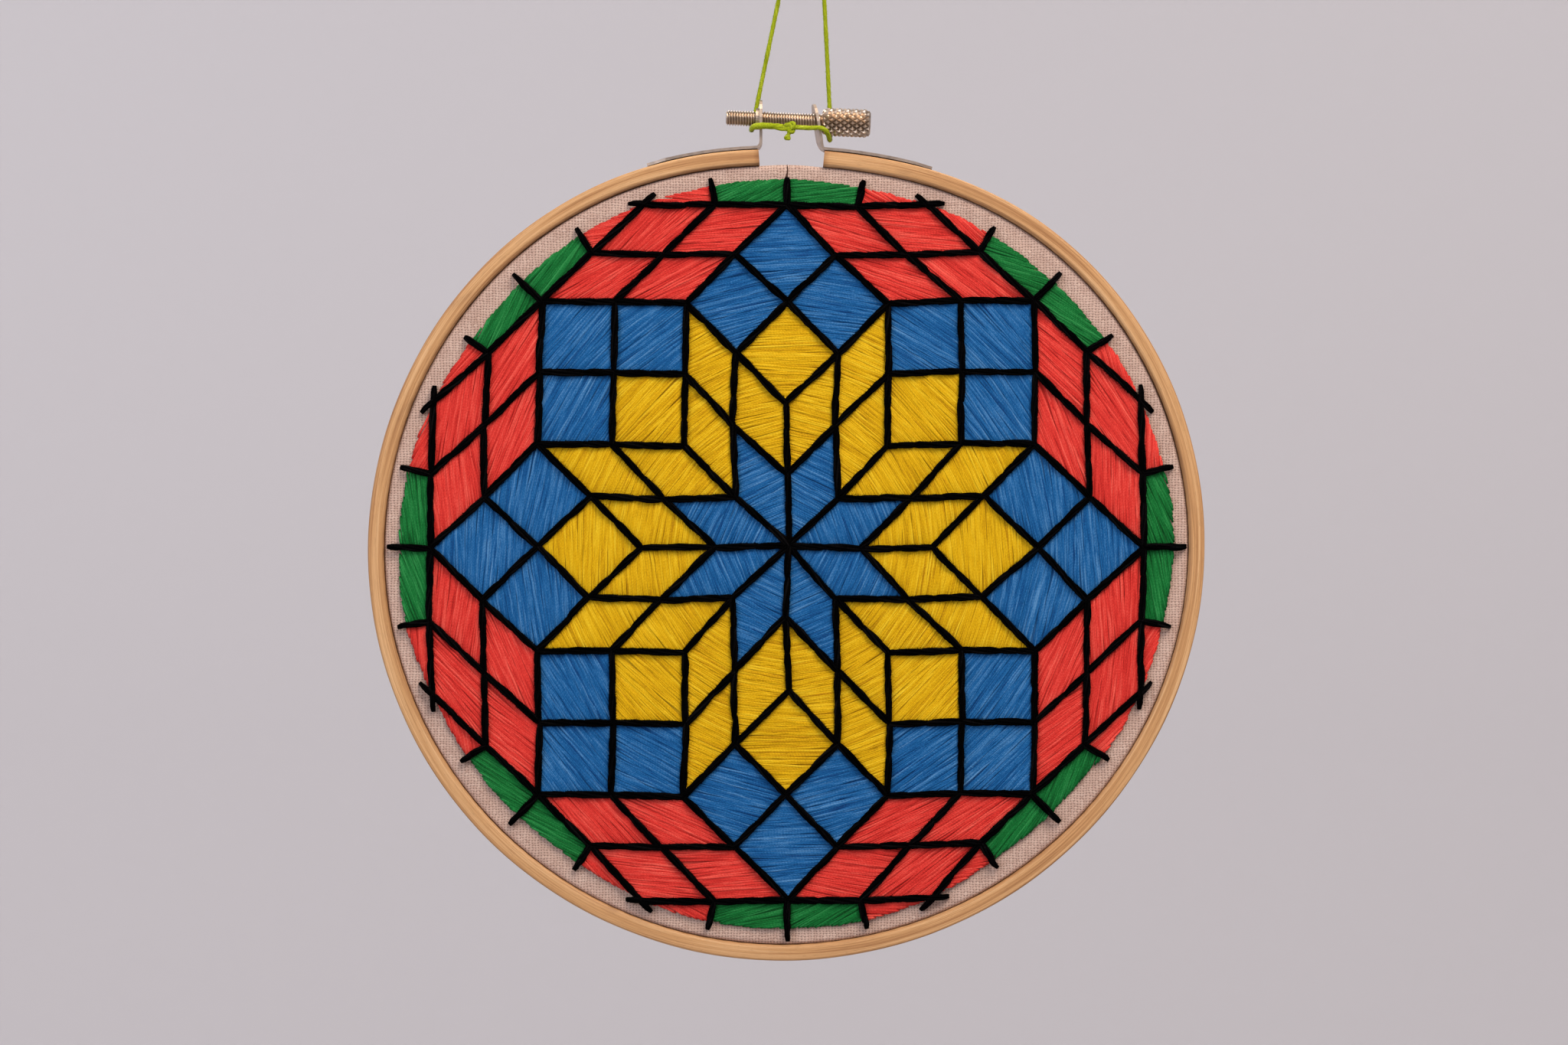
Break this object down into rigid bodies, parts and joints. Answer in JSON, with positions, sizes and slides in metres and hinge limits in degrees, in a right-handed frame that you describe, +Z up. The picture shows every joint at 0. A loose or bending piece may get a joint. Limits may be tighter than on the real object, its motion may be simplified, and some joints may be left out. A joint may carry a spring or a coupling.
{
  "type": "hoop embroidery art panel in a wooden embroidery hoop",
  "caption": "Round wooden embroidery hoop with a knurled tightening screw and a cord loop, holding a linen panel filled with a satin-stitched eight-pointed star.",
  "frame": {"origin": "top of the hanging loop, where a nail holds it", "axes": "+Z up along the panel's height, -Y out of the stitched front, +Y towards the wall, +X to the right seen from the front"},
  "size_m": [0.2131, 0.0118, 0.2741],
  "materials": {
    "wood": "pale beech, sanded, unvarnished, fine grain along the ring",
    "linen": "plain-woven pinkish natural linen",
    "steel": "nickel-plated steel, satin",
    "thread_blue": "satin-stitched cotton floss with a soft sheen",
    "thread_yellow": "satin-stitched cotton floss with a soft sheen",
    "thread_red": "satin-stitched cotton floss with a soft sheen",
    "thread_green": "satin-stitched cotton floss with a soft sheen",
    "thread_black": "matt, slightly fuzzy thick cotton thread in back stitch",
    "cord_lime": "lime-green stranded cotton cord"
  },
  "bodies": {
    "hoop": {"blue_corner_1": "thread_blue", "blue_corner_2": "thread_blue", "blue_corner_3": "thread_blue", "blue_corner_4": "thread_blue", "blue_corner_5": "thread_blue", "blue_corner_6": "thread_blue", "blue_corner_7": "thread_blue", "blue_corner_8": "thread_blue", "blue_star": "thread_blue", "bracket_left": "steel", "bracket_right": "steel", "cloth": "linen", "cord_knot": "cord_lime", "green_rim_1": "thread_green", "green_rim_2": "thread_green", "green_rim_3": "thread_green", "green_rim_4": "thread_green", "green_rim_5": "thread_green", "green_rim_6": "thread_green", "green_rim_7": "thread_green", "green_rim_8": "thread_green", "hanging_cord": "cord_lime", "inner_hoop": "wood", "outer_hoop": "wood", "outline_stitching": "thread_black", "red_diamond_1": "thread_red", "red_diamond_2": "thread_red", "red_diamond_3": "thread_red", "red_diamond_4": "thread_red", "red_diamond_5": "thread_red", "red_diamond_6": "thread_red", "red_diamond_7": "thread_red", "red_diamond_8": "thread_red", "yellow_ring": "thread_yellow"},
    "screw": {"thumbscrew": "steel"}
  },
  "joints": [
    {"name": "screw_turn", "type": "hinge", "parent": "hoop", "child": "screw", "pos_m": [-0.02125, -0.0041, -0.05766], "axis": [0.9991, 0, -0.0419], "continuous": true}
  ]
}
